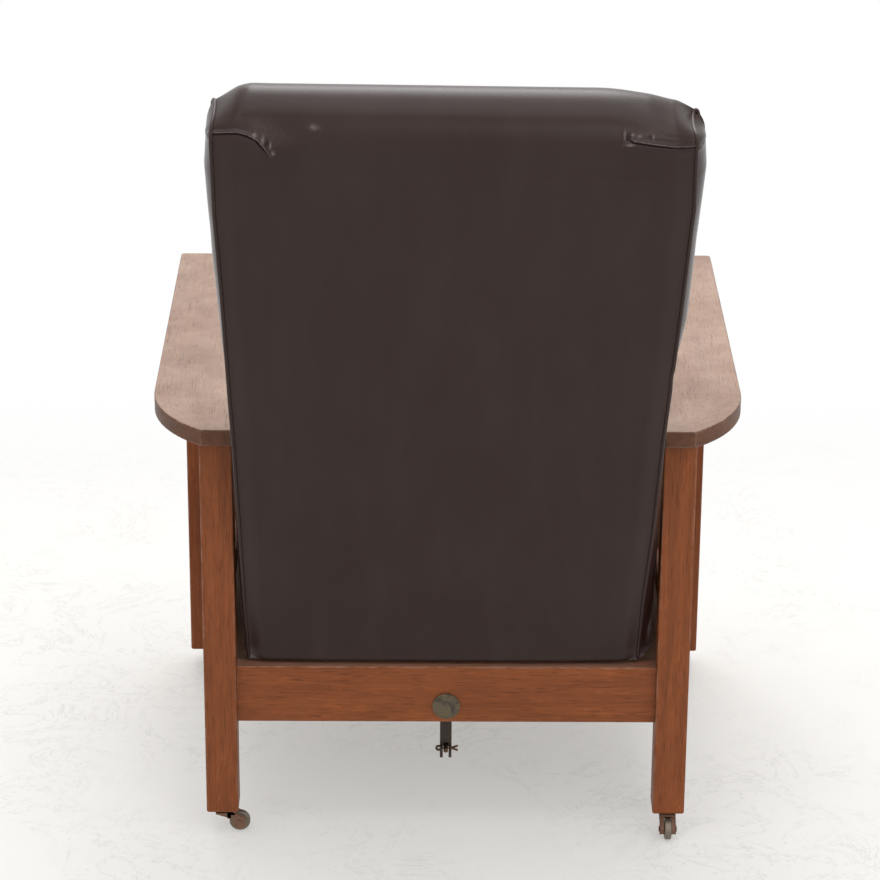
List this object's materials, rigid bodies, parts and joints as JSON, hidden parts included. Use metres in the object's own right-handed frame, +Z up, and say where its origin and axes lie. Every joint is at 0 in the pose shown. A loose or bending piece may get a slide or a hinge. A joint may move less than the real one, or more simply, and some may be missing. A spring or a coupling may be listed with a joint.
{
  "type": "mission reclining armchair",
  "caption": "Oak mission armchair with flat arms, a leather back that reclines on a rear hinge with a draw rod and push-button clutch, and iron casters.",
  "frame": {"origin": "on the floor, at the centre of the chair's footprint box", "axes": "+Z up, the front of the chair faces -Y, its right hand side is -X"},
  "size_m": [0.74, 0.8139, 1.0486],
  "materials": {
    "oak": "worn fumed oak, satin",
    "plain_timber": "unfinished timber",
    "leather": "dark brown, soft gloss",
    "stuffed_leather": "dark brown leather over stuffing, soft gloss",
    "webbing": "jute",
    "steel": "bright wire",
    "brass": "antique, dull",
    "iron": "dark, rusty in places"
  },
  "bodies": {
    "frame": {"arm_dowels": "oak", "arm_left": "oak", "arm_right": "oak", "badge_disc": "brass", "badge_pins": "brass", "button_spring": "steel", "caster_sockets": "iron", "clutch_jaw": "iron", "front_crossbar": "plain_timber", "front_leg_left": "oak", "front_leg_right": "oak", "front_rail": "oak", "hinge_pins": "iron", "rail_hinge_screws": "iron", "rail_hinges": "iron", "rear_crossbar": "plain_timber", "rear_leg_left": "oak", "rear_leg_right": "oak", "rear_rail": "oak", "release_bushing": "brass", "return_spring": "steel", "seat_border": "leather", "seat_box_front": "plain_timber", "seat_box_left": "plain_timber", "seat_box_rear": "plain_timber", "seat_box_right": "plain_timber", "seat_cleats": "plain_timber", "seat_pad": "stuffed_leather", "seat_springs": "steel", "side_rail_left": "oak", "side_rail_right": "oak", "side_slats_left": "oak", "side_slats_right": "oak", "spring_bars": "plain_timber", "spring_washer": "iron"},
    "back": {"back_cross_rails": "plain_timber", "back_hinges": "iron", "back_pad": "stuffed_leather", "back_rear_panel": "leather", "back_screws": "iron", "back_stiles": "plain_timber", "back_webbing": "webbing", "back_welt_left": "leather", "back_welt_right": "leather", "lever_bar": "iron", "hem_tacks": "steel"},
    "draw_rod": {"draw_rod": "iron", "cotter_pin": "steel", "rod_collar": "iron"},
    "button": {"push_button": "brass", "release_rod": "iron", "clutch_shoe": "iron"},
    "caster_rear_left": {"caster_fork_rear_left": "iron"},
    "wheel_rear_left": {"caster_wheel_rear_left": "iron"},
    "caster_rear_right": {"caster_fork_rear_right": "iron"},
    "wheel_rear_right": {"caster_wheel_rear_right": "iron"},
    "caster_front_left": {"caster_fork_front_left": "iron"},
    "wheel_front_left": {"caster_wheel_front_left": "iron"},
    "caster_front_right": {"caster_fork_front_right": "iron"},
    "wheel_front_right": {"caster_wheel_front_right": "iron"}
  },
  "joints": [
    {"name": "back_recline", "type": "hinge", "parent": "frame", "child": "back", "pos_m": [0, 0.2008, 0.2565], "axis": [-1, 0, 0], "range_deg": [0, 26]},
    {"name": "rod_slide", "type": "slide", "parent": "frame", "child": "draw_rod", "axis": [0, -0.9903, 0.1392], "range_m": [0, 0.06734], "deforming": ["return_spring"]},
    {"name": "button_press", "type": "slide", "parent": "frame", "child": "button", "axis": [1, 0, 0], "range_m": [0, 0.006], "stiffness_N_per_m": 400, "springref_m": -0.004, "deforming": ["button_spring"]},
    {"name": "swivel_rear_left", "type": "hinge", "parent": "frame", "child": "caster_rear_left", "pos_m": [0.2875, 0.2063, 0.034], "axis": [0, 0, 1], "continuous": true},
    {"name": "spin_rear_left", "type": "hinge", "parent": "caster_rear_left", "child": "wheel_rear_left", "pos_m": [0.2665, 0.2063, 0.0135], "axis": [0, -1, 0], "continuous": true},
    {"name": "swivel_rear_right", "type": "hinge", "parent": "frame", "child": "caster_rear_right", "pos_m": [-0.2875, 0.2063, 0.034], "axis": [0, 0, 1], "continuous": true},
    {"name": "spin_rear_right", "type": "hinge", "parent": "caster_rear_right", "child": "wheel_rear_right", "pos_m": [-0.2875, 0.2273, 0.0135], "axis": [-1, 0, 0], "continuous": true},
    {"name": "swivel_front_left", "type": "hinge", "parent": "frame", "child": "caster_front_left", "pos_m": [0.3225, -0.2832, 0.034], "axis": [0, 0, 1], "continuous": true},
    {"name": "spin_front_left", "type": "hinge", "parent": "caster_front_left", "child": "wheel_front_left", "pos_m": [0.32968, -0.26347, 0.0135], "axis": [-0.9397, 0.342, 0], "continuous": true},
    {"name": "swivel_front_right", "type": "hinge", "parent": "frame", "child": "caster_front_right", "pos_m": [-0.3225, -0.2832, 0.034], "axis": [0, 0, 1], "continuous": true},
    {"name": "spin_front_right", "type": "hinge", "parent": "caster_front_right", "child": "wheel_front_right", "pos_m": [-0.32793, -0.26291, 0.0135], "axis": [-0.9659, -0.2588, 0], "continuous": true}
  ],
  "couplings": [
    {"joint": "rod_slide", "follows": "back_recline", "m_per_rad": 0.14839}
  ]
}
